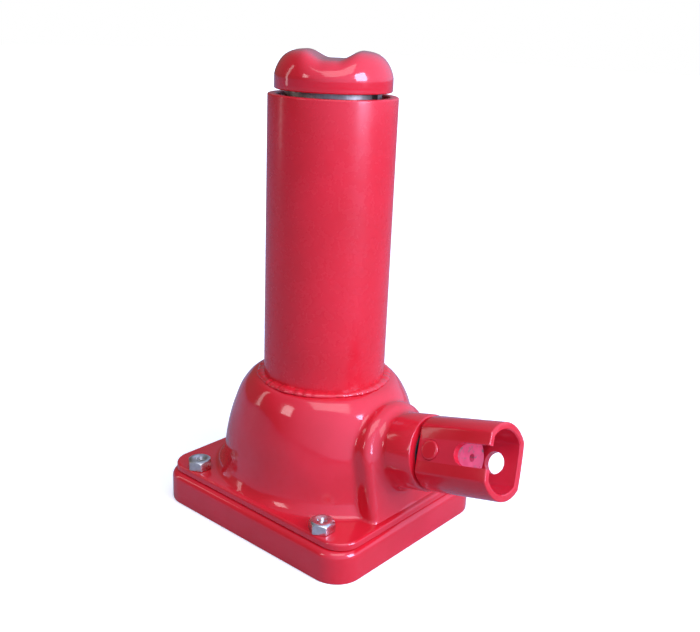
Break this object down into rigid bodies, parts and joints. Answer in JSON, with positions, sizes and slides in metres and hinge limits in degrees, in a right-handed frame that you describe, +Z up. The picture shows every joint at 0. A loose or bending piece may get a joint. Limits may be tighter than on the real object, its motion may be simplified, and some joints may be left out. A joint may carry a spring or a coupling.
{
  "type": "screw bottle jack",
  "caption": "Upright screw jack: square bolted base, domed bevel gear housing, tall round column with a grooved saddle, and an inclined drive socket with a locking slot.",
  "frame": {"origin": "on the ground plane, on the axis of the column", "axes": "+Z up along the column, +X toward the drive socket"},
  "size_m": [0.1903, 0.12, 0.2497],
  "materials": {
    "red_enamel_base": "glossy enamel",
    "red_enamel_housing": "glossy enamel over cast iron",
    "red_enamel_column": "glossy enamel",
    "red_enamel_weld": "glossy enamel over a hand-laid weld",
    "red_enamel_saddle": "glossy enamel over forged steel",
    "red_enamel_socket": "glossy enamel",
    "bright_zinc": "bright zinc plate",
    "ground_steel": "ground and oiled",
    "oiled_steel": "machined, oiled",
    "dark_steel": "blackened",
    "bearing_steel": "polished",
    "bronze": "machined bronze",
    "cage_steel": "stamped",
    "black_rubber": "matt"
  },
  "bodies": {
    "frame": {"base_plate": "red_enamel_base", "gear_housing": "red_enamel_housing", "base_screw_1": "bright_zinc", "base_screw_2": "bright_zinc", "base_screw_3": "bright_zinc", "base_screw_4": "bright_zinc", "column_tube": "red_enamel_column", "weld_bead": "red_enamel_weld", "guide_bush": "bronze", "guide_key": "dark_steel", "race_lower": "bearing_steel", "base_bush": "bronze", "drive_bush_inner": "bronze", "drive_bush_outer": "bronze", "thrust_washer": "dark_steel", "shaft_seal": "black_rubber"},
    "drive": {"pinion_shaft": "oiled_steel", "drive_socket": "red_enamel_socket", "socket_pin": "red_enamel_socket"},
    "spindle": {"spindle": "oiled_steel", "crown_gear": "oiled_steel", "gear_key": "dark_steel", "stop_washer": "dark_steel", "stop_clip": "dark_steel", "race_upper": "bearing_steel"},
    "ball_cage": {"ball_cage": "cage_steel", "bearing_ball_01": "bearing_steel", "bearing_ball_02": "bearing_steel", "bearing_ball_03": "bearing_steel", "bearing_ball_04": "bearing_steel", "bearing_ball_05": "bearing_steel", "bearing_ball_06": "bearing_steel", "bearing_ball_07": "bearing_steel", "bearing_ball_08": "bearing_steel", "bearing_ball_09": "bearing_steel", "bearing_ball_10": "bearing_steel", "bearing_ball_11": "bearing_steel", "bearing_ball_12": "bearing_steel"},
    "ram": {"ram_tube": "ground_steel", "saddle": "red_enamel_saddle", "lift_nut": "bronze", "nut_pin_1": "dark_steel", "nut_pin_2": "dark_steel"}
  },
  "joints": [
    {"name": "drive_turn", "type": "hinge", "parent": "frame", "child": "drive", "pos_m": [0, 0, 0.03834], "axis": [0.9711, 0, 0.2385], "range_deg": [-11665, 0]},
    {"name": "spindle_turn", "type": "hinge", "parent": "frame", "child": "spindle", "pos_m": [0, 0, 0], "axis": [0, 0, 1], "range_deg": [-4861, 0]},
    {"name": "bearing_turn", "type": "hinge", "parent": "frame", "child": "ball_cage", "pos_m": [0, 0, 0], "axis": [0, 0, 1], "range_deg": [-2431, 0]},
    {"name": "ram_lift", "type": "slide", "parent": "frame", "child": "ram", "axis": [0, 0, 1], "range_m": [0, 0.108]}
  ],
  "couplings": [
    {"joint": "drive_turn", "follows": "ram_lift", "rad_per_m": -1885},
    {"joint": "spindle_turn", "follows": "ram_lift", "rad_per_m": -785.4},
    {"joint": "bearing_turn", "follows": "ram_lift", "rad_per_m": -392.7}
  ]
}
